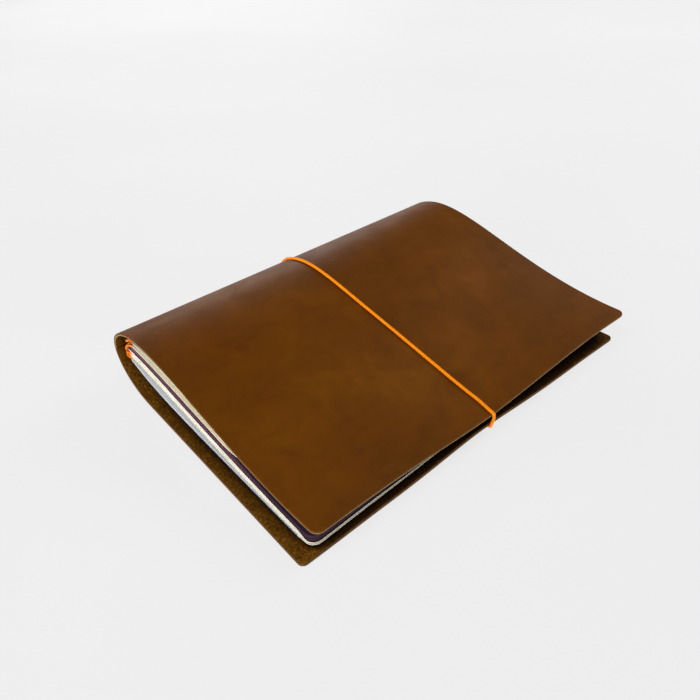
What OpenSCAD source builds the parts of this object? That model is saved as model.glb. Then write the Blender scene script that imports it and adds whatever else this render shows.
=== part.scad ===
// Folded leather notebook cover with booklets held in its spine by elastic cords.
// X runs from the spine to the fore-edge, Y along the spine from tail to head, Z up.
// The back cover lies on the table. The origin is the middle of the underside.

/* [Leather] */
// Length of the cover along the spine
cover_l = 220; // [218:1:226]
// Width of a closed cover from the booklets' fold line to its fore-edge
fore_x = 153.2; // [152.6:0.1:155]
// Leather thickness
leather_t = 1.6; // [1.3:0.1:1.6]
// Slip of the fold against the leather's square, in degrees
skew = 1.34; // [0:0.1:2]
// Corner radius of the leather at the fore-edge
leather_corner = 3.5; // [2:0.5:8]

/* [Booklets] */
// Booklet width from fold to fore-edge
booklet_x = 150; // [146:0.5:150]
// Booklet length
booklet_l = 210; // [200:1:212]
// How far the booklets sit towards the tail
booklet_shift = 2; // [0:0.5:3]
// Corner radius of the booklets
booklet_corner = 5; // [2:1:10]
// How far the booklets are turned against the leather's fore-edge, in degrees
stack_skew = 1.34; // [0:0.02:1.34]
// Thickness of a booklet's cover card
card_t = 0.3; // [0.2:0.05:0.4]

/* [Cords] */
// Diameter of the closure elastic
closure_d = 1.8; // [1.4:0.1:1.8]
// Diameter of the elastics that hold the booklets
holder_d = 1.5; // [1:0.1:1.5]

/* [Hidden] */

// Half way between the outermost points in X, so that the origin is the middle of the box
mid_x = 71.2;
// Gap between pieces that lie on each other
small = 0.05;

// Outer face of the leather, seen from the tail: under the back, round the spine, over the front.
// Each stretch is one cubic curve, given by its four control points.
spine_x = -10.7;
spine_mid_z = 20.5;
fold_z = 39.2;
fore_z = 14;
back_end_x = 21;
lower_curve = [[back_end_x, 0], [2, 0], [spine_x, 9], [spine_x, spine_mid_z]];
upper_curve = [[spine_x, spine_mid_z], [spine_x, 31], [4, fold_z], [20, fold_z]];
front_curve = [[20, fold_z], [52, fold_z], [96, fore_z], [fore_x, fore_z]];

// Where the leather bends when it opens, as shares of the lower and upper curves
lower_bend = 0.62;
upper_bend = 0.67;
bend_gap = 0.006;
curve_steps = 14;

// Lower face of each booklet, from the fold to the fore-edge; each lies on the one below
white_low = [[3, 15.6], [24, 9.5], [20, 7.5], [booklet_x, 3]];
cream_low = [[3, 20.4], [60, 13.6], [80, 7.4], [booklet_x, 4.1]];
plum_low = [[3, 24.9], [40, 23.5], [77, 11.5], [booklet_x, 7.9]];
folder_low = [[4, 28.4], [43, 27.2], [98, 13.4], [booklet_x, 11.1]];
leaf_top = [[5.8, 31.6], [52, 36], [96, 12.9], [booklet_x, 12.1]];
leaf_t = 0.25;
// The white booklet is narrower than the others
white_x = booklet_x - 3.5;
// The folder is this much shorter at each end towards its fore-edge, and narrows between these two lines
folder_cut = 3.5;
folder_cut_from = 88;
folder_cut_to = 118;

tail_y = -booklet_l / 2 - booklet_shift;
head_y = booklet_l / 2 - booklet_shift;

// The booklets are turned about this point near their folds
turn_x = 4;
turn_y = -55.7;
// How far the turned booklets move along X at y
function stack_x(y) = -tan(stack_skew) * (y - turn_y);
// Puts the booklets, the folder and their elastics in place
module stack() {
    translate([turn_x - mid_x, turn_y, 0]) rotate([0, 0, stack_skew]) translate([-turn_x, -turn_y, 0])
        children();
}

// The closure elastic lies in a pressed groove under the back cover, a rib on the inside
cord_r = closure_d / 2;
groove_r = cord_r + 0.08;
rib_r = 1.5;
rib_end_x = 9;
groove_end_x = -1;
// Both ends of the elastic come through one hole in the spine, at this height above and below its middle
knot_hole_r = 2.2;
strand_rise = cord_r + 0.1;
// Gap between the elastic and the leather that it runs along
cord_gap = 0.14;

// How far a fold bulges past its last layer, as a share of the booklet's height there
fold_bulge = 0.6;
// Where the bulge's curve peaks, as a share of its control points' reach
bulge_peak = 0.75;

// Holes for the booklet elastics near each end of the spine
stitch_z = [12.5, 17.5, 22.5, 27.5];
stitch_inset = 12;
stitch_hole_r = 1.1;

function bezier(p, t) =
    pow(1 - t, 3) * p[0] + 3 * pow(1 - t, 2) * t * p[1] + 3 * (1 - t) * t * t * p[2] + t * t * t * p[3];
function unit(v) = v / norm(v);
function heading(p, t) = unit(bezier(p, min(t + 0.002, 1)) - bezier(p, max(t - 0.002, 0)));
// The side that faces the inside of the folded cover
function inward(p, t) = [heading(p, t)[1], -heading(p, t)[0]];
function offset_curve(p, a, b, d, n = curve_steps) =
    [for (i = [0:n]) let (t = a + (b - a) * i / n) bezier(p, t) + d * inward(p, t)];
function reversed(p) = [for (i = [len(p) - 1:-1:0]) p[i]];

// Outline with each corner i rounded by radii[i]
function rounded(p, radii) = [for (i = [0:len(p) - 1])
    let (v = p[i], r = radii[i],
        a = v + r * unit(p[(i + len(p) - 1) % len(p)] - v),
        b = v + r * unit(p[(i + 1) % len(p)] - v))
    each (r == 0 ? [v] : [for (t = [0:1 / 6:1]) (1 - t) * (1 - t) * a + 2 * (1 - t) * t * v + t * t * b])];

// A profile in X and Z drawn out along Y
module along_y(y0, y1) {
    translate([0, y1, 0]) rotate([90, 0, 0]) linear_extrude(y1 - y0) children();
}

// The whole sheet is longer than the cover and is cut to its skewed outline afterwards
module leather_strip(outer, inner) {
    margin = 8;
    along_y(-cover_l / 2 - margin, cover_l / 2 + margin) polygon(concat(outer, reversed(inner)));
}

// How far a cover's ends move along Y at x; way is +1 for the front, which slips to the head, and
// -1 for the back. The slip starts at the spine's middle, whose curve adds spine_extra to the length.
spine_extra = 7;
function slip(x, way) = way * tan(skew) * (x - spine_x + spine_extra);

// Plan of one cover
module cover_plan(way) {
    left = spine_x + 1;
    plan = [[left, -cover_l / 2 + slip(left, way)], [fore_x, -cover_l / 2 + slip(fore_x, way)],
        [fore_x, cover_l / 2 + slip(fore_x, way)], [left, cover_l / 2 + slip(left, way)]];
    translate([0, 0, -1]) linear_extrude(fold_z + 2)
        polygon(rounded(plan, [0, leather_corner, leather_corner, 0]));
}

module back_cover() {
    last = lower_bend - bend_gap;
    color("saddlebrown") translate([-mid_x, 0, 0]) difference() {
        union() {
            intersection() {
                leather_strip(
                    concat([[fore_x, 0]], offset_curve(lower_curve, 0, last, 0)),
                    concat([[fore_x, leather_t]], offset_curve(lower_curve, 0, last, leather_t)));
                cover_plan(-1);
            }
            intersection() {
                translate([rib_end_x, 0, cord_r]) rotate([0, 90, 0])
                    cylinder(h = fore_x - rib_end_x, r = rib_r);
                translate([rib_end_x, -rib_r, 0]) cube([fore_x - rib_end_x, 2 * rib_r, 2 * rib_r]);
            }
        }
        translate([groove_end_x, 0, cord_r]) rotate([0, 90, 0]) cylinder(h = 2 * fore_x, r = groove_r);
        translate([groove_end_x, -groove_r, -1]) cube([2 * fore_x, 2 * groove_r, cord_r + 1]);
    }
}

module spine() {
    first = lower_bend + bend_gap;
    last = upper_bend - bend_gap;
    // The slip grows with the length round the spine, about 1.5 times its height
    round_share = 1.5;
    lean = round_share * tan(skew);
    color("sienna") translate([-mid_x, 0, 0]) difference() {
        intersection() {
            leather_strip(
                concat(offset_curve(lower_curve, first, 1, 0),
                    offset_curve(upper_curve, 0.02, last, 0)),
                concat(offset_curve(lower_curve, first, 1, leather_t),
                    offset_curve(upper_curve, 0.02, last, leather_t)));
            translate([spine_x - 1, 0, 0]) rotate([90, 0, 90]) linear_extrude(30) polygon([
                [-cover_l / 2 - lean * spine_mid_z, 0], [cover_l / 2 - lean * spine_mid_z, 0],
                [cover_l / 2 + lean * spine_mid_z, 2 * spine_mid_z],
                [-cover_l / 2 + lean * spine_mid_z, 2 * spine_mid_z]]);
        }
        translate([spine_x - 1, 0, spine_mid_z]) rotate([0, 90, 0])
            cylinder(h = 5, r = knot_hole_r, $fn = 48);
        for (end = [-1, 1], z = stitch_z)
            translate([spine_x - 1, end * (cover_l / 2 - stitch_inset), z]) rotate([0, 90, 0])
                cylinder(h = 8, r = stitch_hole_r, $fn = 32);
    }
}

module front_cover() {
    first = upper_bend + bend_gap;
    color("saddlebrown") translate([-mid_x, 0, 0]) intersection() {
        leather_strip(
            concat(offset_curve(upper_curve, first, 1, 0),
                offset_curve(front_curve, 0.02, 1, 0)),
            concat(offset_curve(upper_curve, first, 1, leather_t),
                offset_curve(front_curve, 0.02, 1, leather_t)));
        cover_plan(1);
    }
}

// A cord swept along points that lie in one plane; across is that plane's normal
module cord(path, r, across, closed = false, sides = 8) {
    n = len(path);
    rings = [for (i = [0:n - 1])
        let (a = closed ? path[(i + n - 1) % n] : path[max(i - 1, 0)],
            b = closed ? path[(i + 1) % n] : path[min(i + 1, n - 1)],
            out = unit(cross(b - a, across)))
        [for (k = [0:sides - 1]) let (w = 360 * k / sides) path[i] + r * (cos(w) * out + sin(w) * across)]];
    links = closed ? n : n - 1;
    walls = [for (i = [0:links - 1], k = [0:sides - 1])
        let (j = (i + 1) % n, m = (k + 1) % sides)
        [i * sides + k, i * sides + m, j * sides + m, j * sides + k]];
    caps = closed ? [] : [[for (k = [sides - 1:-1:0]) k], [for (k = [0:sides - 1]) (n - 1) * sides + k]];
    polyhedron(points = [for (ring = rings) each ring], faces = concat(walls, caps));
}

// The closure elastic: out of the spine hole, over the front, round the fore-edge, back under the cover
module closure_elastic() {
    rise = cord_r + cord_gap;
    hole_in = spine_x + 1.7;
    hole_out = spine_x - 0.4;
    edge_x = spine_x - 1.15;
    edge_rise = strand_rise + 1.3;
    top_z = fore_z + rise;
    past_x = fore_x + rise;
    route = concat(
        [[hole_in, spine_mid_z + strand_rise], [hole_out, spine_mid_z + strand_rise]],
        [[edge_x, spine_mid_z + edge_rise]],
        offset_curve(upper_curve, 0.16, 0.98, -rise, 12),
        offset_curve(front_curve, 0.04, 0.96, -rise, 14),
        [[fore_x - 0.2, top_z], [fore_x + 0.85, top_z - 0.25], [past_x, top_z - 1.2]],
        [[past_x, 2.9], [past_x - 0.1, 1.3], [fore_x + 0.5, cord_r + 0.03], [fore_x - 0.8, cord_r]],
        [[100, cord_r], [50, cord_r]],
        [[12, cord_r], [6.6, cord_r + 0.03]],
        offset_curve(lower_curve, 0.33, 0.86, -rise, 11),
        [[edge_x, spine_mid_z - edge_rise]],
        [[hole_out, spine_mid_z - strand_rise], [hole_in, spine_mid_z - strand_rise]]);
    color("orange") translate([-mid_x, 0, 0])
        cord([for (p = route) [p[0], 0, p[1]]], cord_r, [0, 1, 0]);
}

// The stopper knot inside the spine, drawn up tight against the hole
module closure_knot() {
    knot_r = 2.6;
    color("darkorange") translate([spine_x + leather_t + knot_r + 0.15 - mid_x, 0, spine_mid_z])
        sphere(r = knot_r, $fn = 40);
}

// Profile of a folded booklet between two curves, drawn in by inset and open past end_x
function fold_profile(low, high, inset, end_x) =
    let (a = low[0] + [0, inset], b = high[0] - [0, inset], bulge = fold_bulge * (b[1] - a[1]))
    concat(
        [[end_x, low[3][1] + inset]],
        [for (i = [curve_steps:-1:1]) bezier(low, i / curve_steps) + [0, inset]],
        [for (t = [0:0.1:1]) bezier([a, a - [bulge, 0], [b[0] - bulge, b[1]], b], t) + [inset / 2, 0]],
        [for (i = [1:curve_steps]) bezier(high, i / curve_steps) - [0, inset]],
        [[end_x, high[3][1] - inset]]);

// The cord's channel runs where the innermost pages meet, a little way in from the fold
channel_x = 6.5;
channel_r = holder_d / 2 + 0.1;
channel_share = 0.03;
function channel_z(low, high) = (bezier(low, channel_share)[1] + bezier(high, channel_share)[1]) / 2;
// Middle line of a booklet from the channel to the fore-edge, moved up by w
function slit(low, high, w) =
    [for (i = [0:20]) let (t = channel_share + (1 - channel_share) * i / 20)
        (bezier(low, t) + bezier(high, t)) / 2 + [0, w]];

// Plan of a booklet that reaches end_x. Its ends lie square to the leather's fore-edge.
plan_left = -6;
module booklet_plan(end_x) {
    plan = [[plan_left, tail_y], [end_x + stack_x(tail_y), tail_y], [end_x + stack_x(head_y), head_y],
        [plan_left, head_y]];
    translate([-mid_x, 0, 0]) linear_extrude(fold_z)
        polygon(rounded(plan, [0, booklet_corner, booklet_corner, 0]));
}
// Room past the ends of the booklets, cut off by their plan
over = 5;

// The card wrapped round the pages
module booklet_cover(low, high, end_x = booklet_x) {
    intersection() {
        stack() along_y(tail_y - over, head_y + over) difference() {
            polygon(fold_profile(low, high, small, booklet_x + 1));
            polygon(fold_profile(low, high, card_t, booklet_x + 2));
        }
        booklet_plan(end_x);
    }
}

// The folded sheets, parted in the middle, with the channel for the cord in the gutter
module booklet_pages(low, high, end_x = booklet_x) {
    parting = 0.04;
    trim = 0.6;
    intersection() {
        stack() along_y(tail_y - over, head_y + over) difference() {
            polygon(fold_profile(low, high, card_t + small, booklet_x + 1));
            polygon(concat(slit(low, high, -parting), [[booklet_x + 2, (low[3][1] + high[3][1]) / 2]],
                reversed(slit(low, high, parting))));
            translate([channel_x, channel_z(low, high)]) circle(r = channel_r, $fn = 24);
        }
        booklet_plan(end_x - trim);
    }
}

// X of a booklet's outermost fold
function fold_x(low, high) = low[0][0] - bulge_peak * fold_bulge * (high[0][1] - low[0][1]);

// The crowns of the two wire staples that bind each booklet, on the outside of its fold
module booklet_staples(low, high) {
    wire = 0.25;
    span = 12;
    from_end = 0.27 * booklet_l;
    crown_x = fold_x(low, high) - wire - small;
    stack() for (y = [tail_y + from_end, head_y - from_end])
        translate([crown_x, y, (low[0][1] + high[0][1]) / 2])
            rotate([90, 0, 0]) cylinder(h = span, r = wire, center = true, $fn = 16);
}

// The elastic of a booklet: down the gutter, round both ends, and back outside the fold
module booklet_elastic(low, high) {
    z = channel_z(low, high);
    over_staple = 0.75;
    outside_x = fold_x(low, high) - holder_d / 2 - over_staple;
    half = (channel_x - outside_x) / 2;
    mid = (channel_x + outside_x) / 2;
    reach = 1.5;
    turn = [for (i = [0:8]) let (w = 180 * i / 8) [mid + half * cos(w), reach * sin(w)]];
    loop = concat(
        [for (p = turn) [p[0], head_y + p[1] - 0.1, z]],
        [for (p = reversed(turn)) [p[0], tail_y - p[1] + 0.1, z]]);
    stack() cord(loop, holder_d / 2, [0, 0, 1], closed = true);
}

module plum_cover() { color([0.2, 0.13, 0.2]) booklet_cover(plum_low, folder_low); }
module plum_pages() { color([0.36, 0.22, 0.3]) booklet_pages(plum_low, folder_low); }
module plum_staples() { color("silver") booklet_staples(plum_low, folder_low); }
module plum_elastic() { color("orange") booklet_elastic(plum_low, folder_low); }
module cream_cover() { color([0.85, 0.8, 0.68]) booklet_cover(cream_low, plum_low); }
module cream_pages() { color([0.93, 0.9, 0.82]) booklet_pages(cream_low, plum_low); }
module cream_staples() { color("silver") booklet_staples(cream_low, plum_low); }
module cream_elastic() { color("orange") booklet_elastic(cream_low, plum_low); }
module white_cover() { color([0.45, 0.52, 0.6]) booklet_cover(white_low, cream_low, white_x); }
module white_pages() { color([0.88, 0.89, 0.9]) booklet_pages(white_low, cream_low, white_x); }
module white_staples() { color("silver") booklet_staples(white_low, cream_low); }
module white_elastic() { color("orange") booklet_elastic(white_low, cream_low); }

// Plan of the folder
module folder_plan() {
    near = tail_y + folder_cut;
    far = head_y - folder_cut;
    plan = [[plan_left, tail_y], [folder_cut_from, tail_y], [folder_cut_to, near],
        [booklet_x + stack_x(near), near], [booklet_x + stack_x(far), far], [folder_cut_to, far],
        [folder_cut_from, head_y], [plan_left, head_y]];
    translate([-mid_x, 0, 0]) linear_extrude(fold_z)
        polygon(rounded(plan, [0, 0, 0, booklet_corner, booklet_corner, 0, 0, 0]));
}

// The card folder: two leaves that meet at a crease under the front cover
module leaf(top, t) {
    upper = [for (i = [0:20]) bezier(top, i / 20)];
    past = [top[3] + [1, 0]];
    outline = concat(upper, past, [past[0] - [0, t]], reversed([for (p = upper) p - [0, t]]));
    intersection() {
        stack() along_y(tail_y - over, head_y + over) polygon(outline);
        folder_plan();
    }
}
module folder_front_leaf() { color([0.88, 0.86, 0.78]) leaf(leaf_top, leaf_t); }
module folder_back_leaf() {
    back_top = [for (p = folder_low) p + [0, leaf_t + small]];
    color([0.8, 0.78, 0.66]) leaf(back_top, leaf_t - small);
}

// The folder's elastic runs down the crease and hooks round both ends of the folder
module folder_elastic() {
    z = 30.1;
    inside_x = 9.5;
    outside_x = 1.4;
    reach = 1.5;
    half = (inside_x - outside_x) / 2;
    // Its ends stop short of the crease, inside the spine's hollow
    turn = [for (i = [0:8]) let (w = 160 * i / 8) [outside_x + half + half * cos(w), reach * sin(w)]];
    route = concat(
        [for (p = reversed(turn)) [p[0], head_y + p[1] + 0.9, z]],
        [for (p = turn) [p[0], tail_y - p[1] - 0.9, z]]);
    color("orange") stack() cord(route, holder_d / 2, [0, 0, 1]);
}

// Short stitches outside the spine, between neighbouring holes at one end. The spine curves away
// from its widest line, so the outer end of each stitch sits further in than its inner end.
module stitches(end) {
    r = holder_d / 2;
    x = spine_x - r - 0.1;
    low_in = 1.1;
    high_in = 1.4;
    for (pair = [[0, 1, low_in, 0], [2, 3, 0, high_in]]) {
        low = stitch_z[pair[0]];
        high = stitch_z[pair[1]];
        low_x = x + pair[2];
        high_x = x + pair[3];
        mid_low = x + 0.6 * pair[2];
        mid_high = x + 0.5 * pair[3] - 0.15;
        route = [[low_x + 1.6, low], [low_x + 0.5, low], [mid_low, low + 0.8],
            [mid_high, high - 0.8], [high_x + 0.5, high], [high_x + 1.6, high]];
        translate([-mid_x, end * (cover_l / 2 - stitch_inset), 0])
            cord([for (p = route) [p[0], 0, p[1]]], r, [0, 1, 0]);
    }
}
module tail_stitches() { color("orange") stitches(-1); }
module head_stitches() { color("orange") stitches(1); }

// The knot that ties the stitching cord off inside the spine near the head
module stitch_knot() {
    knot_r = 1.9;
    color("darkorange")
        translate([spine_x + leather_t + knot_r + 0.2 - mid_x, cover_l / 2 - stitch_inset - 8, spine_mid_z])
            sphere(r = knot_r, $fn = 32);
}

back_cover();
spine();
front_cover();
closure_elastic();
closure_knot();
folder_front_leaf();
folder_back_leaf();
folder_elastic();
plum_cover();
plum_pages();
plum_staples();
plum_elastic();
cream_cover();
cream_pages();
cream_staples();
cream_elastic();
white_cover();
white_pages();
white_staples();
white_elastic();
tail_stitches();
head_stitches();
stitch_knot();
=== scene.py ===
import math

import bpy
import numpy as np
from mathutils import Matrix, Vector


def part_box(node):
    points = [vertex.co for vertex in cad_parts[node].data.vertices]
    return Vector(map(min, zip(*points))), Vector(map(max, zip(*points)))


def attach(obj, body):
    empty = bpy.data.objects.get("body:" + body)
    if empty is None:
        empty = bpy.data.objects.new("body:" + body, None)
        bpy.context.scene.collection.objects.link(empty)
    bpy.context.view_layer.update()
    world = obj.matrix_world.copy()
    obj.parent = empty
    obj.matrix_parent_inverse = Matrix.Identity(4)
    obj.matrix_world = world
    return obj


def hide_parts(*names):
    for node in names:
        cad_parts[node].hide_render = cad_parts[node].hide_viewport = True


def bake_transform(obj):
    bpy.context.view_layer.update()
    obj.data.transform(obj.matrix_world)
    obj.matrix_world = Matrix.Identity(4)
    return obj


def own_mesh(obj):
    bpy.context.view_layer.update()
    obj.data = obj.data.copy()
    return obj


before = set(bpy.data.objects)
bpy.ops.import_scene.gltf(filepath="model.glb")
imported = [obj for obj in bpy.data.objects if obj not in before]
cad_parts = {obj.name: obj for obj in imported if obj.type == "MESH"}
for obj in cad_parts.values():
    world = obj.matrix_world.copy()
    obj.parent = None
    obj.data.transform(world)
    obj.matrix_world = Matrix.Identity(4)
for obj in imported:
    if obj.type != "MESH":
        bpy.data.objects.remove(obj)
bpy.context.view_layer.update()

# ---------------------------------------------------------------- measures, in millimetres
# The cover's own measures are in its working frame, whose zero in X is at the inner end of the
# spine's hollow; everything is moved to the row frame by MID_X, which comes from the CAD spine.
MM = 0.001
SPINE_X = -10.7
SPINE_MID_Z = 20.5
MID_X = SPINE_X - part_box("spine")[0].x / MM
FORE_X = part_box("front_cover")[1].x / MM + MID_X
FOLD_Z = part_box("front_cover")[1].z / MM
FORE_Z = 14.0
COVER_L = 220.0
# Slip of the two halves along the spine, for each millimetre of length away from it
SLIP = math.tan(math.radians(1.34))
LEATHER_T = 1.6
BACK_CORNER = 3.0
FRONT_CORNER = 4.2
TAIL_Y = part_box("plum_pages")[0].y / MM
HEAD_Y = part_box("plum_pages")[1].y / MM
# The booklets are turned a little against the leather's fore-edge, about the line Y = TURN_Y
STACK_TURN = math.tan(math.radians(1.34))
TURN_Y = -55.7
BOOKLET_X = 150.0
BOOKLET_CORNER = 5.0
WHITE_X = BOOKLET_X - 3.5
# How far the folder's ends are cut back, the folds drawn to the spine at the tail, and the fore-edge sunk
FOLDER_CUT = 3.5
FOLD_DRAW = 2.2
FORE_SAG = 2.2


def stack_x(y):
    """How far the turned booklets move along X at y."""
    return -STACK_TURN * (np.asarray(y, float) - TURN_Y)


def fold_x(x, y):
    """The same for a point at x, with the draw of the folds at the tail."""
    near = 1 - smooth((np.asarray(x, float) - 5) / 22)
    return stack_x(y) - FOLD_DRAW * near * smooth((-55 - np.asarray(y, float)) / 45)


# Cubic curves in X and Z: the leather's outer face, the lower faces of the layers, the folder's top
FLAT_X = 21
LOWER = [[FLAT_X, 0], [2, 0], [SPINE_X, 9], [SPINE_X, SPINE_MID_Z]]
UPPER = [[SPINE_X, SPINE_MID_Z], [SPINE_X, 31], [4, FOLD_Z], [20, FOLD_Z]]
FRONT = [[20, FOLD_Z], [52, FOLD_Z], [96, FORE_Z], [FORE_X, FORE_Z]]

WHITE_LOW = [[3, 15.6], [24, 9.5], [20, 7.5], [BOOKLET_X, 3.0]]
CREAM_LOW = [[3, 19.3], [60, 13.5], [80, 7.4], [BOOKLET_X, 4.1]]
PLUM_LOW = [[3, 24.4], [40, 22.9], [77, 11.2], [BOOKLET_X, 7.9]]
FOLDER_LOW = [[4, 28.4], [43, 27.2], [98, 13.4], [BOOKLET_X, 11.1]]
LEAF_TOP = [[5.8, 31.6], [52, 36], [96, 12.9], [BOOKLET_X, 12.1]]


# ---------------------------------------------------------------- curves and small maths
def bezier(points, t):
    p = np.array(points, float)
    t = np.asarray(t, float)[:, None]
    return (1 - t) ** 3 * p[0] + 3 * (1 - t) ** 2 * t * p[1] + 3 * (1 - t) * t * t * p[2] + t**3 * p[3]


def smooth(t):
    t = np.clip(t, 0, 1)
    return t * t * (3 - 2 * t)


def bell(y, centre, width):
    return np.exp(-(((y - centre) / width) ** 2))


def arc_length(path):
    """The length along a polyline at each of its points."""
    return np.concatenate([[0], np.cumsum(np.hypot(*np.diff(path, axis=0).T))])


def at_length(path, s):
    """Points and unit headings of a polyline at lengths s."""
    along = arc_length(path)
    point = np.stack([np.interp(s, along, path[:, k]) for k in range(2)], axis=1)
    step = 0.4
    a = np.stack([np.interp(np.clip(s - step, 0, along[-1]), along, path[:, k]) for k in range(2)], axis=1)
    b = np.stack([np.interp(np.clip(s + step, 0, along[-1]), along, path[:, k]) for k in range(2)], axis=1)
    way = b - a
    return point, way / np.linalg.norm(way, axis=1)[:, None]


DENSE = np.linspace(0, 1, 400)
UPPER_PATH = np.vstack([bezier(UPPER, DENSE), bezier(FRONT, DENSE)[1:]])
LOWER_PATH = np.vstack([bezier(LOWER, DENSE)[::-1], [[FORE_X, 0]]])


def inner_line(path, turn):
    """The inside face of a half of the leather, as (x, z) sorted by x, for the stretch over the booklets."""
    past_spine = 26
    s = np.linspace(0, arc_length(path)[-1], 900)
    p, way = at_length(path, s)
    q = p + LEATHER_T * turn * np.stack([way[:, 1], -way[:, 0]], axis=1)
    q = q[s > past_spine]
    return q[np.argsort(q[:, 0])]


INNER_TOP = inner_line(UPPER_PATH, 1)


# ---------------------------------------------------------------- how the covers bend along Y
# Each bend's height, centre and width along Y, and the depth and width of the closure cord's groove
PULLED = (3.6, -3, 43)
HEAD_RISE = (1.0, 84, 26)
TAIL_DROP = (0.65, -112, 26)
GROOVE_DEPTH, GROOVE_WIDTH = 0.22, 3.2
LIFTED = (2.9, -7, 34)
LIFTED_ALL = 0.7
OVER_CORD = (1.75, 0, 4.6)


def hump(y, bend):
    """A bend's height at y."""
    height, centre, width = bend
    return height * bell(y, centre, width)


def cord_y(x):
    """The closure elastic's place along the spine as it crosses the front cover."""
    return -1.6 + 4.5 * bell(x, 120, 52) - 1.2 * smooth((x - 142) / 12)


def press(x, y):
    """Height lost by the front cover where the elastic pulls it down, and its free waviness."""
    edge = hump(y, PULLED) - hump(y, HEAD_RISE) + hump(y, TAIL_DROP)
    groove = GROOVE_DEPTH * bell(y, cord_y(x), GROOVE_WIDTH) * smooth((x + 4) / 14)
    return edge * smooth((x - 72) / 78) + groove


def lift(x, y):
    """Height gained by the back cover, which the elastic lifts off the table near the fore-edge."""
    edge = (hump(y, LIFTED) + LIFTED_ALL * (1 - smooth((np.abs(y) - 70) / 40))) * smooth((x - 98) / 52)
    over_cord = hump(y, OVER_CORD) * smooth((x - 1) / 9)
    return np.maximum(edge, over_cord)


def squeeze(x, y, z):
    """Booklet heights follow the covers that press on them."""
    low0, high0 = LEATHER_T, np.interp(x, INNER_TOP[:, 0], INNER_TOP[:, 1])
    low, high = low0 + lift(x, y), high0 - press(x, y)
    share = np.where(x > FLAT_X, 1.0, 0.0) * smooth((x - FLAT_X) / 20)
    return z + share * (low + (z - low0) * (high - low) / (high0 - low0) - z)


def sag(x, z):
    """The plum booklet's fore-edge sinks on to the cream one, most at the height where they meet."""
    meet_z, width = 8.2, 2.4
    return FORE_SAG * bell(z, meet_z, width) * smooth((x - 140) / 9)


# ---------------------------------------------------------------- mesh making
def new_mesh(name, verts, faces, material_index, materials, uv):
    mesh = bpy.data.meshes.new(name)
    mesh.from_pydata((np.asarray(verts) * MM).tolist(), [], [list(f) for f in faces])
    for m in materials:
        mesh.materials.append(m)
    if material_index is not None:
        mesh.polygons.foreach_set("material_index", np.asarray(material_index, np.int32))
    mesh.polygons.foreach_set("use_smooth", np.full(len(mesh.polygons), True))
    layer = mesh.uv_layers.new(name="flat")
    loops = np.zeros(len(mesh.loops), np.int32)
    mesh.loops.foreach_get("vertex_index", loops)
    layer.data.foreach_set("uv", (np.asarray(uv)[loops] * MM).astype(np.float32).ravel())
    mesh.validate()
    mesh.update()
    obj = bpy.data.objects.new(name, mesh)
    bpy.context.scene.collection.objects.link(obj)
    return obj


def row_frame(x, y, z):
    """Points of the working frame moved to the row frame, still in millimetres."""
    return np.stack([np.asarray(x) - MID_X, np.asarray(y) + 0 * np.asarray(x), np.asarray(z)], axis=-1)


def grid_faces(ni, nj, start=0, flip=False):
    """The quads between ni rows of nj points each, numbered from start."""
    faces = []
    for i in range(ni - 1):
        for j in range(nj - 1):
            a, b = start + i * nj + j, start + (i + 1) * nj + j
            f = (a, b, b + 1, a + 1)
            faces.append(f[::-1] if flip else f)
    return faces


def spacing(n, ends=2.0):
    """n shares from 0 to 1, closer together at both ends."""
    t = np.linspace(-1, 1, n)
    return 0.5 + 0.5 * np.sign(t) * (1 - (1 - np.abs(t)) ** ends)


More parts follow.
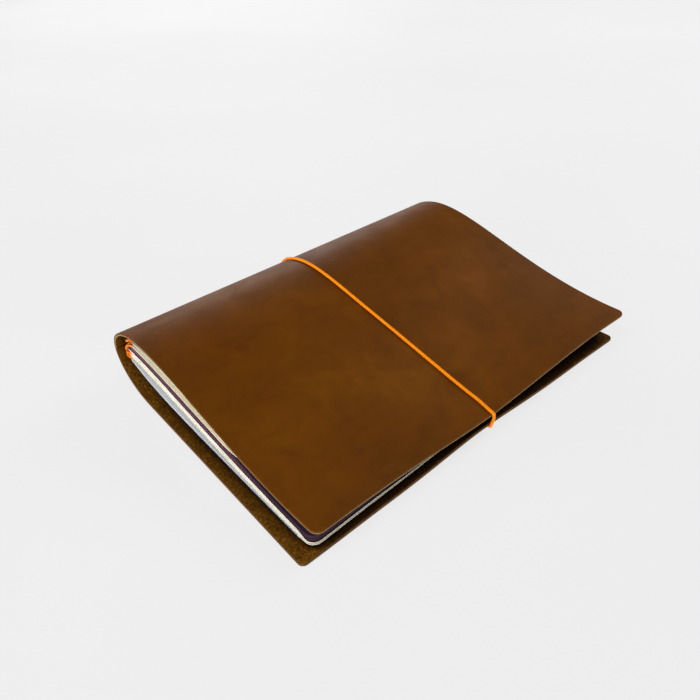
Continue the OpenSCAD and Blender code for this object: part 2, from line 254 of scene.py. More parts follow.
# ---------------------------------------------------------------- leather
def leather_half(name, path, way, turn, bend, corner_r, materials):
    """One half of the cover, from the spine's outermost line to the fore-edge, as a closed sheet.
    way is +1 for the front, which slips to the head; turn says on which side of the path the inside is."""
    total = arc_length(path)[-1]
    nv = 150
    # Lengths along the path: close together round the spine, wider over the flat, close at the fore-edge
    curved, rim = 70, 6
    u = np.concatenate([np.linspace(0, curved, 90)[:-1], np.linspace(curved, total - rim, 60)[:-1],
                        total - rim + rim * np.sin(np.linspace(0, math.pi / 2, 12))])
    rounded = 0.32

    def layer(inset, depth):
        s = np.minimum(u, total) * (total - inset) / total
        p, heading = at_length(path, s)
        normal = turn * np.stack([heading[:, 1], -heading[:, 0]], axis=1)
        r = corner_r - inset
        into = np.clip(s - (total - inset - r), 0, r)
        corner = r - np.sqrt(np.maximum(r * r - into * into, 0))
        v = spacing(nv)
        half = COVER_L / 2 - inset - corner
        y0 = way * SLIP * s
        y = y0[:, None] + half[:, None] * (2 * v - 1)[None, :]
        x = (p[:, 0] + depth * normal[:, 0])[:, None] + 0 * y
        z = (p[:, 1] + depth * normal[:, 1])[:, None] + 0 * y
        z = z + bend(p[:, 0][:, None] + 0 * y, y)
        flat = np.stack([s[:, None] + 0 * y, y], axis=-1)
        return row_frame(x, y, z), flat

    # The rounded edge's levels from outside to inside, each an inset and a depth, and their materials
    levels = [(rounded, 0.0), (0.08, 0.1), (0.0, rounded), (0.0, 0.55 * LEATHER_T),
              (0.0, LEATHER_T - rounded), (0.08, LEATHER_T - 0.1), (rounded, LEATHER_T)]
    level_mats = [0, 0, 1, 3, 3, 3]
    made = [layer(*lv) for lv in levels]
    nu = len(u)
    verts, flat, index = [made[0][0].reshape(-1, 3)], [made[0][1].reshape(-1, 2)], nu * nv
    inner_start = index
    verts.append(made[-1][0].reshape(-1, 3))
    flat.append(made[-1][1].reshape(-1, 2))
    index += nu * nv
    outside_flip = way > 0
    faces = grid_faces(nu, nv, 0, flip=outside_flip)
    mats = [0] * len(faces)
    more = grid_faces(nu, nv, inner_start, flip=not outside_flip)
    faces += more
    mats += [2] * len(more)
    # The rim runs tail edge, fore-edge, head edge, and back along the spine line
    ring = [(i, 0) for i in range(nu)] + [(nu - 1, j) for j in range(1, nv)]
    ring += [(i, nv - 1) for i in range(nu - 2, -1, -1)] + [(0, j) for j in range(nv - 2, 0, -1)]
    loops = [[i * nv + j for i, j in ring]]
    for lv in made[1:-1]:
        pts = np.array([lv[0][i, j] for i, j in ring])
        loops.append(list(range(index, index + len(ring))))
        verts.append(pts)
        flat.append(np.array([lv[1][i, j] for i, j in ring]))
        index += len(ring)
    loops.append([inner_start + i * nv + j for i, j in ring])
    n = len(ring)
    for level in range(len(loops) - 1):
        a, b = loops[level], loops[level + 1]
        for k in range(n):
            m = (k + 1) % n
            f = (a[k], a[m], b[m], b[k])
            faces.append(f if outside_flip else f[::-1])
            mats.append(level_mats[level])
    return new_mesh(name, np.vstack(verts), faces, mats, materials, np.vstack(flat))


# ---------------------------------------------------------------- materials
def rgb(r, g, b):
    """A colour given as it is seen on a screen, turned to linear light."""
    shares = (c / 255 for c in (r, g, b))
    return tuple(c / 12.92 if c <= 10 / 255 else ((c + 0.055) / 1.055) ** 2.4 for c in shares) + (1.0,)


class Nodes:
    """A short way to write a material's node tree."""

    def __init__(self, name):
        self.material = bpy.data.materials.new(name)
        self.material.use_nodes = True
        self.tree = self.material.node_tree
        self.shader = self.tree.nodes["Principled BSDF"]

    def add(self, kind, settings=None, **inputs):
        node = self.tree.nodes.new(kind)
        for key, value in (settings or {}).items():
            setattr(node, key, value)
        for key, value in inputs.items():
            self.put(node, key.replace("_", " "), value)
        return node

    def put(self, node, key, value):
        socket = node.inputs[int(key)] if key.isdigit() else node.inputs[key]
        if isinstance(value, bpy.types.NodeSocket):
            self.tree.links.new(value, socket)
        else:
            socket.default_value = value

    def flat(self, scale=(1, 1, 1), angle=0.0):
        coords = self.add("ShaderNodeUVMap", {"uv_map": "flat"})
        return self.mapped(coords.outputs["UV"], scale, angle)

    def place(self, scale=(1, 1, 1)):
        coords = self.add("ShaderNodeTexCoord")
        return self.mapped(coords.outputs["Object"], scale)

    def mapped(self, vector, scale, angle=0.0):
        node = self.add("ShaderNodeMapping", Vector=vector)
        node.inputs["Scale"].default_value = scale
        node.inputs["Rotation"].default_value = (0, 0, angle)
        return node.outputs["Vector"]

    def noise(self, vector, scale, detail=4.0, rough=0.55, distort=0.0):
        return self.add("ShaderNodeTexNoise", Vector=vector, Scale=scale, Detail=detail, Roughness=rough,
                        Distortion=distort).outputs["Fac"]

    def cells(self, vector, scale):
        return self.add("ShaderNodeTexVoronoi", Vector=vector, Scale=scale).outputs["Distance"]

    def ramp(self, fac, stops):
        node = self.add("ShaderNodeValToRGB", Fac=fac)
        ramp = node.color_ramp
        while len(ramp.elements) < len(stops):
            ramp.elements.new(0.5)
        for element, (position, colour) in zip(ramp.elements, stops):
            element.position = position
            element.color = colour
        return node.outputs["Color"]

    def levels(self, fac, low, high, to_low=0.0, to_high=1.0):
        node = self.add("ShaderNodeMapRange", Value=fac)
        for key, value in (("From Min", low), ("From Max", high), ("To Min", to_low), ("To Max", to_high)):
            node.inputs[key].default_value = value
        return node.outputs["Result"]

    def mix(self, fac, a, b, blend="MIX"):
        node = self.add("ShaderNodeMix", {"data_type": "RGBA", "blend_type": blend})
        self.put(node, "0", fac)
        self.put(node, "6", a)
        self.put(node, "7", b)
        return node.outputs[2]

    def maths(self, operation, a, b=None):
        node = self.add("ShaderNodeMath", {"operation": operation})
        self.put(node, "0", a)
        if b is not None:
            self.put(node, "1", b)
        return node.outputs[0]

    def bump(self, height, strength, distance):
        node = self.add("ShaderNodeBump", Height=height, Strength=strength, Distance=distance)
        return node.outputs["Normal"]

    def surface(self, colour, roughness, normal=None, **constants):
        self.put(self.shader, "Base Color", colour)
        self.put(self.shader, "Roughness", roughness)
        if normal is not None:
            self.put(self.shader, "Normal", normal)
        for key, value in constants.items():
            self.shader.inputs[key.replace("_", " ")].default_value = value
        return self.material


def grain_leather():
    n = Nodes("leather_grain")
    uv = n.flat()
    cloud = n.noise(uv, 11.0, 3.0, 0.5)
    mottle = n.noise(uv, 55.0, 5.0, 0.6, 0.6)
    streak = n.noise(n.flat((1.0, 0.22, 1.0), 0.5), 190.0, 4.0, 0.6)
    fine = n.noise(uv, 1500.0, 3.0, 0.6)
    base = n.ramp(cloud, [(0.32, rgb(90, 47, 1)), (0.5, rgb(101, 54, 2)), (0.68, rgb(111, 62, 4))])
    base = n.mix(n.levels(mottle, 0.38, 0.68, 0.0, 0.55), base, rgb(77, 41, 1))
    base = n.mix(n.levels(streak, 0.45, 0.75, 0.0, 0.22), base, rgb(114, 66, 8))
    base = n.mix(n.levels(fine, 0.3, 0.75, 0.0, 0.22), base, rgb(70, 35, 2))
    pores = n.cells(uv, 1150.0)
    height = n.maths("ADD", n.maths("MULTIPLY", pores, 0.5), n.maths("MULTIPLY", fine, 0.55))
    height = n.maths("ADD", height, n.maths("MULTIPLY", mottle, 1.1))
    normal = n.bump(height, 0.16, 0.00012)
    rough = n.levels(n.maths("ADD", mottle, n.maths("MULTIPLY", fine, 0.4)), 0.4, 1.0, 0.42, 0.58)
    return n.surface(base, rough, normal, Specular_IOR_Level=0.06, Specular_Tint=(1.0, 0.82, 0.55, 1.0))


def cut_leather(name, tones, worn, strength):
    """A cut edge: its three tones from dark to light, and the tone it wears to in places."""
    n = Nodes(name)
    uv = n.flat()
    fibre = n.noise(uv, 900.0, 5.0, 0.65)
    tone = n.noise(uv, 60.0, 3.0, 0.5)
    base = n.ramp(fibre, list(zip((0.3, 0.6, 0.8), tones)))
    base = n.mix(n.levels(tone, 0.35, 0.7, 0.0, strength), base, worn)
    return n.surface(base, n.levels(fibre, 0.3, 0.7, 0.62, 0.8), n.bump(fibre, 0.35, 0.00015),
                     Specular_IOR_Level=0.15)


def flesh_leather():
    n = Nodes("leather_flesh_side")
    uv = n.flat()
    nap = n.noise(uv, 650.0, 6.0, 0.7)
    tuft = n.noise(uv, 150.0, 4.0, 0.6)
    speck = n.cells(uv, 800.0)
    base = n.ramp(nap, [(0.32, rgb(60, 32, 1)), (0.5, rgb(118, 74, 13)), (0.7, rgb(172, 120, 38))])
    base = n.mix(n.levels(tuft, 0.35, 0.66, 0.0, 0.55), base, rgb(76, 44, 3))
    base = n.mix(n.levels(speck, 0.0, 0.35, 0.4, 0.0), base, rgb(182, 130, 48))
    # Painted shade: the colour goes near black where the booklets and the leather nearly touch and little
    # light is left
    open_sky = n.add("ShaderNodeAmbientOcclusion", {"samples": 8}, Distance=0.016).outputs["AO"]
    base = n.mix(n.levels(open_sky, 0.42, 0.78, 0.95, 0.0), base, rgb(8, 4, 1))
    normal = n.bump(n.maths("ADD", nap, n.maths("MULTIPLY", tuft, 0.6)), 0.5, 0.0003)
    return n.surface(base, 0.93, normal, Specular_IOR_Level=0.05)


def card(name, light, dark, lines=0.0, edge=None):
    """Card or paper. light and dark are its two tones; lines is how strongly the sheets' edges show;
    edge is a darker tone painted on towards the fore-edge as painted shade."""
    n = Nodes(name)
    where = n.place()
    fibre = n.noise(where, 2600.0, 4.0, 0.7)
    cloud = n.noise(where, 70.0, 3.0, 0.5)
    base = n.ramp(fibre, [(0.25, dark), (0.6, light)])
    base = n.mix(n.levels(cloud, 0.3, 0.7, 0.0, 0.25), base, dark)
    if lines:
        sheets = n.noise(n.place((60, 60, 5200)), 1.0, 2.0, 0.5)
        base = n.mix(n.levels(sheets, 0.35, 0.65, 0.0, lines), base, dark)
    if edge:
        # Painted shade: the colour darkens to the edge tone towards the fore-edge
        x = n.add("ShaderNodeSeparateXYZ", Vector=n.place()).outputs["X"]
        base = n.mix(n.levels(x, 0.02, 0.06, 0.0, 0.92), base, edge)
    return n.surface(base, 0.88, n.bump(fibre, 0.2, 0.00005), Specular_IOR_Level=0.25)


def cord_material(name, light, dark):
    n = Nodes(name)
    uv = n.flat()
    around = n.add("ShaderNodeSeparateXYZ", Vector=uv)
    along, across = around.outputs["X"], around.outputs["Y"]
    turns = 8.0
    pitch = 2.0 * MM
    lay = n.maths("MULTIPLY", along, 2 * math.pi / pitch)
    twist = n.maths("MULTIPLY", across, turns / MM)
    one = n.maths("ADD", lay, twist)
    two = n.maths("SUBTRACT", lay, twist)
    weave = n.maths("MULTIPLY", n.maths("SINE", one), n.maths("SINE", two))
    fuzz = n.noise(uv, 3000.0, 3.0, 0.7)
    base = n.ramp(n.levels(weave, -1, 1), [(0.1, dark), (0.75, light)])
    base = n.mix(n.levels(fuzz, 0.4, 0.8, 0.0, 0.3), base, dark)
    return n.surface(base, 0.6, n.bump(weave, 0.35, 0.00008), Specular_IOR_Level=0.1)


def steel():
    n = Nodes("stitching_wire")
    scratch = n.noise(n.place((300, 4000, 4000)), 1.0, 3.0, 0.6)
    base = n.ramp(scratch, [(0.3, rgb(150, 150, 152)), (0.7, rgb(198, 198, 200))])
    return n.surface(base, n.levels(scratch, 0.3, 0.7, 0.25, 0.45), None, Metallic=1.0)


def floor_material():
    n = Nodes("floor")
    tone = n.noise(n.place(), 3.0, 2.0, 0.5)
    base = n.ramp(tone, [(0.3, rgb(80, 80, 80)), (0.7, rgb(83, 83, 83))])
    glow = n.ramp(tone, [(0.3, rgb(226, 226, 226)), (0.7, rgb(228, 228, 228))])
    n.put(n.shader, "Emission Color", glow)
    return n.surface(base, 0.9, None, Specular_IOR_Level=0.1, Emission_Strength=1.0)


BURNISHED = cut_leather("leather_burnished_edge", (rgb(66, 40, 12), rgb(92, 62, 24), rgb(114, 82, 40)),
                        rgb(76, 46, 16), 0.4)
PALE_EDGE = cut_leather("leather_pale_edge", (rgb(112, 86, 48), rgb(146, 120, 78), rgb(168, 142, 100)),
                        rgb(112, 82, 44), 0.4)
BACK_LEATHER = [grain_leather(), BURNISHED, flesh_leather(), BURNISHED]
FRONT_LEATHER = [BACK_LEATHER[0], BURNISHED, BACK_LEATHER[2], PALE_EDGE]
FOLDER_CARD = card("folder_card", rgb(250, 245, 222), rgb(222, 215, 182))
# The plum card's near-black navy is partly its own colour and partly painted shadow of the narrow gap between
# it and the folder above
PLUM_CARD = card("plum_card", rgb(46, 26, 52), rgb(30, 18, 38))
# The plum paper darkens towards the fore-edge: painted shade
PLUM_PAPER = card("plum_paper", rgb(116, 70, 90), rgb(92, 54, 70), 0.35, rgb(52, 30, 44))
CREAM_CARD = card("cream_card", rgb(232, 226, 208), rgb(208, 200, 176))
CREAM_PAPER = card("cream_paper", rgb(222, 220, 205), rgb(208, 204, 186), 0.3)
SLATE_CARD = card("slate_card", rgb(96, 112, 130), rgb(60, 74, 88))
WHITE_PAPER = card("white_paper", rgb(230, 231, 234), rgb(206, 207, 213), 0.3)
CLOSURE_CORD = cord_material("closure_cord", rgb(255, 152, 0), rgb(222, 108, 0))
# The holder cords are the closure cord's orange drawn darker: painted shade
SHADED_HOLDER_CORD = cord_material("holder_cord", rgb(228, 118, 2), rgb(186, 80, 0))
WIRE = steel()


# ---------------------------------------------------------------- the leather cover
lower = leather_half("leather_back", LOWER_PATH, -1, -1, lift, BACK_CORNER, BACK_LEATHER)
upper = leather_half("leather_front", UPPER_PATH, 1, 1, lambda x, y: -press(x, y), FRONT_CORNER,
                     FRONT_LEATHER)


def at(x, z, y=0.0):
    """A point of the working frame, in metres in the row frame."""
    return ((x - MID_X) * MM, y * MM, z * MM)


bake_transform(lower)
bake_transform(upper)
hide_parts("back_cover", "spine")
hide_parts("front_cover")


# ---------------------------------------------------------------- booklets
RANDOM = np.random.default_rng(7)


def plan_edges(x, tail, head, right, corner):
    """Where a sheet with rounded fore-edge corners starts and ends along Y at each x."""
    into = np.clip(x - (right - corner), 0, corner)
    cut = corner - np.sqrt(np.maximum(corner * corner - into * into, 0))
    return tail + cut, head - cut


def sheet_strip(sections, thickness, right, tail_in=0.0, head_in=0.0, ny=44):
    """Vertices and faces of one thin sheet whose cross-section in X and Z is the polyline sections."""
    p = np.asarray(sections, float)
    way = np.gradient(p, axis=0)
    way /= np.linalg.norm(way, axis=1)[:, None]
    normal = np.stack([-way[:, 1], way[:, 0]], axis=1)
    verts, flats = [], []
    v = spacing(ny)
    along = arc_length(p)
    for side in (-0.5, 0.5):
        q = p + side * np.broadcast_to(thickness, len(p))[:, None] * normal
        y0, y1 = plan_edges(p[:, 0], TAIL_Y + tail_in, HEAD_Y - head_in, right, BOOKLET_CORNER)
        y = y0[:, None] + (y1 - y0)[:, None] * v[None, :]
        x = q[:, 0][:, None] + fold_x(q[:, 0][:, None] + 0 * y, y)
        z = squeeze(x, y, q[:, 1][:, None] + 0 * y)
        z = z - sag(q[:, 0][:, None], z)
        verts.append(row_frame(x, y, z).reshape(-1, 3))
        flats.append(np.stack([along[:, None] + 0 * y, y], axis=-1).reshape(-1, 2))
    ni = len(p)
    n = ni * ny
    faces = grid_faces(ni, ny, 0) + grid_faces(ni, ny, n, flip=True)
    ring = [i * ny for i in range(ni)] + [(ni - 1) * ny + j for j in range(1, ny)]
    ring += [i * ny + ny - 1 for i in range(ni - 2, -1, -1)] + [j for j in range(ny - 2, 0, -1)]
    for k in range(len(ring)):
        a, b = ring[k], ring[(k + 1) % len(ring)]
        faces.append((a, a + n, b + n, b))
    return np.vstack(verts), faces, np.vstack(flats)


def join_strips(name, strips, material):
    """One piece from several sheets, whose cut edges stay crisp while their faces are smooth."""
    verts, faces, flats, start = [], [], [], 0
    for v, f, u in strips:
        verts.append(v)
        flats.append(u)
        faces += [tuple(i + start for i in face) for face in f]
        start += len(v)
    obj = new_mesh(name, np.vstack(verts), faces, None, [material], np.vstack(flats))
    obj.data.set_sharp_from_angle(angle=math.radians(40))
    return obj


def side_shares(count=30):
    """Shares along a booklet's curve, closer together at the fore-edge corners and the fold."""
    return np.concatenate([np.linspace(0, 0.12, 6)[:-1], np.linspace(0.12, 0.955, count)[:-1],
                           0.955 + 0.045 * np.sin(np.linspace(0, math.pi / 2, 9))])


def share_at(curve, x):
    """How far along a curve it reaches x."""
    return np.interp(x, bezier(curve, DENSE)[:, 0], DENSE)


def folded(low, high, f, right, part=None):
    """The cross-section of one folded sheet, f of the way in from the booklet's faces (0.5 is the middle),
    and the height of the booklet along it.
    part gives the share of the booklet's height that is left open in the middle at each x."""
    t = side_shares()
    a, b = bezier(low, t * share_at(low, right)), bezier(high, t * share_at(high, right))
    tall = b[:, 1] - a[:, 1]
    keep = 1.0 if part is None else 1.0 - part(a[:, 0])
    under, over = a.copy(), b.copy()
    under[:, 1] += f * tall * keep
    over[:, 1] -= f * tall * keep
    bulge = 0.6 * tall[0] * (1 - 1.6 * f)
    around = [under[0], under[0] - [bulge, 0], over[0] - [bulge, 0], over[0]]
    fold = bezier(around, np.linspace(0, 1, 12))[1:-1]
    height = tall * keep
    heights = np.concatenate([height[::-1], height[0] + 0 * fold[:, 0], height])
    return np.vstack([under[::-1], fold, over]), heights


def booklet(name, low, high, right, skin, cover_material, page_material, sheets, part=None):
    """A booklet's card and its pages; skin is the card's thickness, sheets how many sheets are drawn."""
    first, depth, filled = 0.12, 0.37, 0.88
    made = [sheet_strip(folded(low, high, 0.05, right, part)[0], skin, right)]
    cover = join_strips(name + "_cover_card", made, cover_material)
    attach(cover, "booklets")
    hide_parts(name + "_cover")
    pages = []
    for k in range(sheets):
        f = first + depth * (k + 0.5) / sheets
        edge = right - 0.35 - 0.25 * RANDOM.random()
        tail_in = 0.15 + 0.2 * RANDOM.random()
        line, height = folded(low, high, f, edge, part)
        thick = filled * depth / sheets * height
        pages.append(sheet_strip(line, thick, edge, tail_in, 0.2 + 0.2 * RANDOM.random()))
    block = join_strips(name + "_page_block", pages, page_material)
    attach(block, "booklets")
    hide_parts(name + "_pages")


booklet("plum", PLUM_LOW, FOLDER_LOW, BOOKLET_X, 0.28, PLUM_CARD, PLUM_PAPER,
        8)
booklet("cream", CREAM_LOW, PLUM_LOW, BOOKLET_X, 0.3, CREAM_CARD, CREAM_PAPER,
        9)
booklet("white", WHITE_LOW, CREAM_LOW, WHITE_X, 0.3, SLATE_CARD, WHITE_PAPER,
        8,
        part=lambda x: 0.5 * (1 - smooth((x - 18) / 34)) + 0.08)


def folder_leaf(name, top, thickness, body, node):
    line = bezier(top, side_shares()) - [0, thickness / 2]
    cut = FOLDER_CUT * smooth((line[:, 0] - 88) / 30)
    obj = join_strips(name, [sheet_strip(line, thickness, BOOKLET_X, cut, cut)], FOLDER_CARD)
    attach(obj, body)
    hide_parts(node)


folder_leaf("folder_card_front", LEAF_TOP, 0.3, "folder_leaf", "folder_front_leaf")
folder_leaf("folder_card_back", [[x, z + 0.35] for x, z in FOLDER_LOW], 0.25, "booklets", "folder_back_leaf")


# ---------------------------------------------------------------- cords
BRAID = 0.03


def tube(name, route, radius, material, sides, closed=False):
    """A round cord swept along a smooth route, with a shallow woven relief."""
    p = np.asarray(route, float)
    n = len(p)
    way = np.gradient(p, axis=0) if not closed else np.roll(p, -1, 0) - np.roll(p, 1, 0)
    way /= np.linalg.norm(way, axis=1)[:, None]
    up = np.zeros_like(p)
    ref = np.array([0.0, 0.0, 1.0]) if abs(way[0, 2]) < 0.9 else np.array([0.0, 1.0, 0.0])
    ref = ref - way[0] * (ref @ way[0])
    for i in range(n):
        ref = ref - way[i] * (ref @ way[i])
        ref = ref / np.linalg.norm(ref)
        up[i] = ref
    out = np.cross(way, up)
    along = np.concatenate([[0], np.cumsum(np.linalg.norm(np.diff(p, axis=0), axis=1))])
    w = 2 * math.pi * np.arange(sides) / sides
    strands, lay = 8 * w[None, :], along[:, None] * 3.1
    relief = 1 + BRAID * np.sin(strands + lay) * np.sin(strands - lay)
    ring = up[:, None, :] * np.cos(w)[None, :, None] + out[:, None, :] * np.sin(w)[None, :, None]
    verts = p[:, None, :] + radius * relief[:, :, None] * ring
    faces = []
    for i in range(n if closed else n - 1):
        for k in range(sides):
            m, j = (k + 1) % sides, (i + 1) % n
            faces.append((i * sides + k, i * sides + m, j * sides + m, j * sides + k))
    uv = np.stack([along[:, None] + 0 * w[None, :], radius * w[None, :] + 0 * along[:, None]], axis=-1)
    if not closed:
        faces.append(tuple(range(sides))[::-1])
        faces.append(tuple((n - 1) * sides + k for k in range(sides)))
    flat = verts.reshape(-1, 3)
    flat = row_frame(flat[:, 0], flat[:, 1], flat[:, 2])
    return new_mesh(name, flat, faces, None, [material], uv.reshape(-1, 2))


def smooth_route(points, step=0.6, closed=False):
    """A Catmull-Rom curve through the points, resampled evenly."""
    p = np.asarray(points, float)
    ends = ([p[-1]], [p[0], p[1]]) if closed else ([2 * p[0] - p[1]], [2 * p[-1] - p[-2]])
    q = np.vstack([ends[0], p, ends[1]])
    line = []
    for i in range(1, len(q) - 2):
        t = np.linspace(0, 1, 12, endpoint=False)[:, None]
        a, b, c, d = q[i - 1], q[i], q[i + 1], q[i + 2]
        square, cube = 2 * a - 5 * b + 4 * c - d, 3 * b - a - 3 * c + d
        line.append(0.5 * (2 * b + (c - a) * t + square * t**2 + cube * t**3))
    line = np.vstack(line + ([q[-2][None]] if not closed else []))
    if closed:
        line = np.vstack([line, line[:1]])
    along = np.concatenate([[0], np.cumsum(np.linalg.norm(np.diff(line, axis=0), axis=1))])
    s = np.linspace(0, along[-1], max(8, int(along[-1] / step)))
    line = np.stack([np.interp(s, along, line[:, k]) for k in range(3)], axis=1)
    return line[:-1] if closed else line


CLOSURE_R = 0.78
# Height of the closure elastic's middle line where it runs over the table
CLOSURE_LOW = CLOSURE_R + 0.12
HOLDER_R = 0.75


def closure_route():
    """Out of the spine's hole, over the front, round the fore-edge, and back to the hole underneath."""
    mid_z, strand = SPINE_MID_Z, CLOSURE_R + 0.1
    pts = [[SPINE_X + 2.0, 0, mid_z + strand], [SPINE_X - 0.1, 0, mid_z + strand + 0.1]]
    total = arc_length(UPPER_PATH)[-1]
    for s in np.linspace(4.5, total - 3.0, 42):
        q, way = at_length(UPPER_PATH, np.array([s]))
        out = np.array([-way[0, 1], way[0, 0]])
        x, z = q[0] + out * (CLOSURE_R - 0.1)
        y = cord_y(x) * smooth(s / 25)
        pts.append([x, y, z - press(q[0, 0], y)])
    top = FORE_Z - press(FORE_X, -2.0)
    low = lift(np.array(FORE_X), np.array(-1.0))
    pts += [[FORE_X + 0.5, 0.2, top + 0.2], [FORE_X + 0.9, 0.4, top - 1.6],
            [FORE_X + 0.9, 0.2, (top + low) / 2], [FORE_X + 0.8, -0.6, float(low) + 1.6],
            [FORE_X + 0.5, -0.9, float(low) + 0.1], [FORE_X - 0.5, -0.8, float(low) - 0.75]]
    for x in np.linspace(FORE_X - 8, 13, 16):
        raised = float(lift(np.array(x), np.array(0.0))) - OVER_CORD[0]
        pts.append([x, 0.0, CLOSURE_LOW + max(0.0, raised) * 0.8])
    pts.append([8.0, 0.0, CLOSURE_LOW + 0.05])
    for s in np.linspace(arc_length(LOWER_PATH)[-1] - (FORE_X - FLAT_X) - 20, 4.5, 8):
        q, way = at_length(LOWER_PATH, np.array([s]))
        out = np.array([way[0, 1], -way[0, 0]])
        x, z = q[0] + out * (CLOSURE_R - 0.1)
        pts.append([x, 0.0, max(z, CLOSURE_LOW)])
    pts += [[SPINE_X - 0.1, 0, mid_z - strand - 0.1], [SPINE_X + 2.0, 0, mid_z - strand]]
    return pts


closure_line = smooth_route(closure_route(), 0.35)
closure = tube("closure_elastic_cord", closure_line, CLOSURE_R, CLOSURE_CORD, 20)
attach(closure, "back")
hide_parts("closure_elastic")
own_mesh(closure)


def knot(name, centre, size, cord_r, material, body, node):
    """An overhand knot: a short cord wound through a trefoil and drawn tight."""
    t = np.linspace(0, 2 * math.pi, 90, endpoint=False)
    x = np.sin(t) + 2 * np.sin(2 * t)
    y = np.cos(t) - 2 * np.cos(2 * t)
    z = -np.sin(3 * t)
    path = np.stack([z * 0.9, x * 0.5, y * 0.5], axis=1) * size / 1.5 + np.array(centre)
    obj = tube(name, path, cord_r, material, 12, closed=True)
    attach(obj, body)
    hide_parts(node)


def centre_of(node):
    """The middle of a CAD node's box, in the working frame."""
    low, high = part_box(node)
    c = (low + high) / 2 / MM
    return [c.x + MID_X, c.y, c.z]


knot("closure_cord_knot", centre_of("closure_knot"), 1.25, 0.85, CLOSURE_CORD, "spine", "closure_knot")
knot("stitch_cord_knot", centre_of("stitch_knot"), 0.85, 0.6, SHADED_HOLDER_CORD, "spine", "stitch_knot")


def both_ends(turn):
    """A route round the booklets' ends, for the head and for the tail.
    turn lists its points from the gutter outwards as (x, how far past the end, z)."""
    head = [(x + fold_x(x, HEAD_Y), HEAD_Y + past, z) for x, past, z in turn]
    tail = [(x + fold_x(x, TAIL_Y), TAIL_Y - past, z) for x, past, z in turn]
    return head, tail


def holder_loop(name, turn, node):
    """A booklet's elastic: down the gutter, round both ends, back outside the fold."""
    head, tail = both_ends(turn)
    mids = np.linspace(HEAD_Y - 12, TAIL_Y + 12, 9)
    inside, outside = turn[0], turn[-1]
    route = head + [(outside[0] + fold_x(outside[0], y), y, outside[2]) for y in mids]
    route += tail[::-1] + [(inside[0] + fold_x(inside[0], y), y, inside[2]) for y in mids[::-1]]
    path = smooth_route(route, 0.7, closed=True)
    obj = tube(name, path, HOLDER_R, SHADED_HOLDER_CORD, 12, closed=True)
    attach(obj, "booklets")
    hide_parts(node)


holder_loop("plum_holder_cord", [(8.4, -3.0, 27.2), (6.1, -0.1, 28.3), (4.7, 0.3, 27.8), (3.0, 0.6, 26.4),
                                 (1.8, 0.7, 24.8), (1.1, 0.4, 23.6), (0.7, -0.9, 23.3),
                                 (0.0, -3.5, 24.0)], "plum_elastic")
holder_loop("cream_holder_cord", [(6.4, -3.0, 21.9), (2.5, 0.1, 22.0), (1.2, 0.5, 21.9), (0.5, 0.3, 21.6),
                                  (-0.2, -1.0, 21.4), (-0.8, -3.0, 21.6)], "cream_elastic")
holder_loop("white_holder_cord", [(6.4, -2.8, 18.3), (2.4, -0.2, 18.8), (1.4, 0.4, 19.4), (0.9, 0.6, 20.1),
                                  (0.3, 0.3, 20.6), (-0.5, -1.0, 20.2), (-0.9, -3.0, 19.0)], "white_elastic")


def folder_cord():
    """The folder's elastic: down the crease, and round both ends into the spine's hollow."""
    head, tail = both_ends([(8.2, -2.5, 30.2), (9.4, -0.1, 32.6), (8.4, 0.2, 32.9), (6.6, 0.4, 31.9),
                            (4.2, 0.3, 30.4), (2.4, -0.8, 29.3)])
    mids = [(8.0 + fold_x(8.0, y), y, 30.1) for y in np.linspace(HEAD_Y - 10, TAIL_Y + 10, 9)]
    route = head[::-1] + mids + tail
    obj = tube("folder_holder_cord", smooth_route(route, 0.7), HOLDER_R, SHADED_HOLDER_CORD, 12)
    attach(obj, "booklets")
    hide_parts("folder_elastic")


folder_cord()


def stitches(name, end, node):
    """Two short stitches outside the spine, each between a pair of holes."""
    inset = 12
    parts = []
    for low, high in ((12.5, 17.5), (22.5, 27.5)):
        y = end * (COVER_L / 2 - inset)
        pts = []
        for z in np.linspace(low, high, 7):
            s, turn, path = (SPINE_MID_Z - z) * 1.06, -1, LOWER_PATH
            if z > SPINE_MID_Z:
                s, turn, path = (z - SPINE_MID_Z) * 1.05, 1, UPPER_PATH
            q, way = at_length(path, np.array([abs(s)]))
            out = -turn * np.array([way[0, 1], -way[0, 0]])
            edge = min(abs(z - low), abs(z - high)) / (high - low) * 2
            x, zz = q[0] + out * (HOLDER_R * min(1.0, 0.2 + 1.4 * edge))
            pts.append([x, y, zz])
        pts = [[pts[0][0] + 2.0, y, pts[0][2] + 0.2]] + pts + [[pts[-1][0] + 2.0, y, pts[-1][2] - 0.2]]
        parts.append(tube(name, smooth_route(pts, 0.4), HOLDER_R, SHADED_HOLDER_CORD, 12))
    first, second = parts
    bpy.ops.object.select_all(action="DESELECT")
    first.select_set(True)
    second.select_set(True)
    bpy.context.view_layer.objects.active = first
    bpy.ops.object.join()
    first.name = name
    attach(first, "spine")
    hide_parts(node)


stitches("tail_stitch_cord", -1, "tail_stitches")
stitches("head_stitch_cord", 1, "head_stitches")

for node in ("plum_staples", "cream_staples", "white_staples"):
    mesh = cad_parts[node].data
    mesh.materials.clear()
    mesh.materials.append(WIRE)

# ---------------------------------------------------------------- floor, camera and light
floor_mesh = bpy.data.meshes.new("floor")
reach = 6.0
corners = [(-reach, -reach, 0), (reach, -reach, 0), (reach, reach, 0), (-reach, reach, 0)]
floor_mesh.from_pydata(corners, [], [(0, 1, 2, 3)])
floor_mesh.materials.append(floor_material())
floor = bpy.data.objects.new("floor", floor_mesh)
bpy.context.scene.collection.objects.link(floor)
floor.location.z = -0.0002


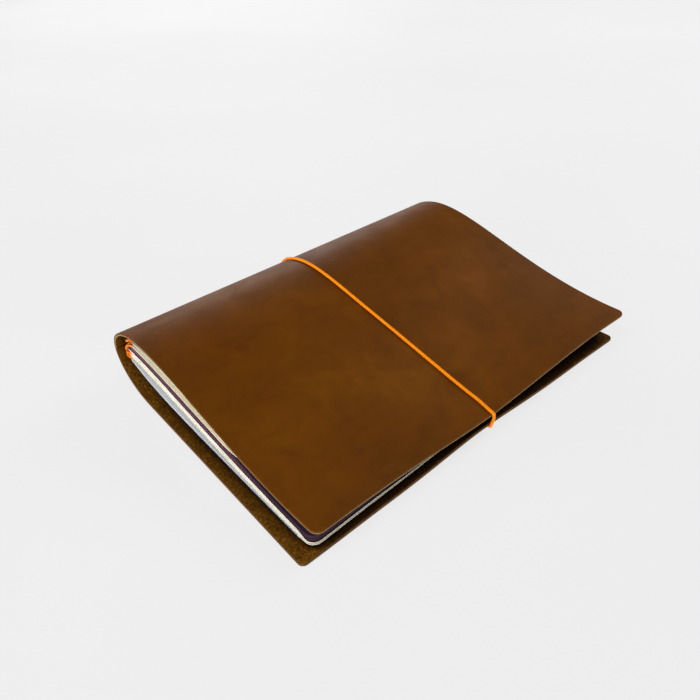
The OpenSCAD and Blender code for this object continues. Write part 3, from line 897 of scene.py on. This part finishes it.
def camera_axes(yaw, pitch, roll):
    """Right, up and forward directions of a camera turned yaw from +Y, tipped down by pitch and rolled."""
    forward = np.array([math.sin(yaw) * math.cos(pitch), math.cos(yaw) * math.cos(pitch), -math.sin(pitch)])
    right = np.array([math.cos(yaw), -math.sin(yaw), 0.0])
    up = np.cross(right, forward)
    return math.cos(roll) * right + math.sin(roll) * up, math.cos(roll) * up - math.sin(roll) * right, forward


# The camera's place in the working frame, its yaw, pitch and roll in degrees, and its focal length
CAMERA_AT = (291.82, -197.02, 220.61)
CAMERA_TURN = (-50.738, 36.05, -3.245)
CAMERA_LENS = 34.19

right, up, forward = camera_axes(*(math.radians(a) for a in CAMERA_TURN))
camera = bpy.data.objects.new("camera", bpy.data.cameras.new("camera"))
bpy.context.scene.collection.objects.link(camera)
turn = Matrix((right, up, -forward)).transposed().to_4x4()
camera.matrix_world = Matrix.Translation(at(CAMERA_AT[0], CAMERA_AT[2], CAMERA_AT[1])) @ turn
camera.data.lens = CAMERA_LENS
camera.data.sensor_width = 36.0
camera.data.clip_start = 0.01
camera.data.clip_end = 20.0
bpy.context.scene.camera = camera


# Where each light stands, what it points at, its width and height, and its power
def soft_light(name, place, aim, size, power, colour=(1, 1, 1)):
    light = bpy.data.lights.new(name, "AREA")
    light.shape = "RECTANGLE"
    light.size, light.size_y = size
    light.energy = power
    light.color = colour
    obj = bpy.data.objects.new(name, light)
    bpy.context.scene.collection.objects.link(obj)
    obj.location = place
    obj.rotation_euler = (Vector(aim) - Vector(place)).to_track_quat("-Z", "Y").to_euler()


soft_light("key", (0.2, 1.35, 0.95), (0, 0, 0), (0.8, 0.8), 16.0)
soft_light("rim", (-1.5, 0.75, 0.5), (0, 0, 0.02), (0.9, 0.5), 9.5)
soft_light("front", (-0.1, -1.7, 0.18), (0, 0, 0.02), (1.5, 0.32), 30.0)
soft_light("right", (1.7, -0.4, 0.12), (0, 0, 0.02), (1.2, 0.2), 14.0)
soft_light("above", (-0.35, -0.75, 1.5), (0, 0, 0.02), (0.9, 0.9), 12.0)

world = bpy.data.worlds.new("studio")
bpy.context.scene.world = world
world.use_nodes = True
world.node_tree.nodes["Background"].inputs["Color"].default_value = (1, 1, 1, 1)
world.node_tree.nodes["Background"].inputs["Strength"].default_value = 0.1
bpy.context.scene.view_settings.view_transform = "Standard"
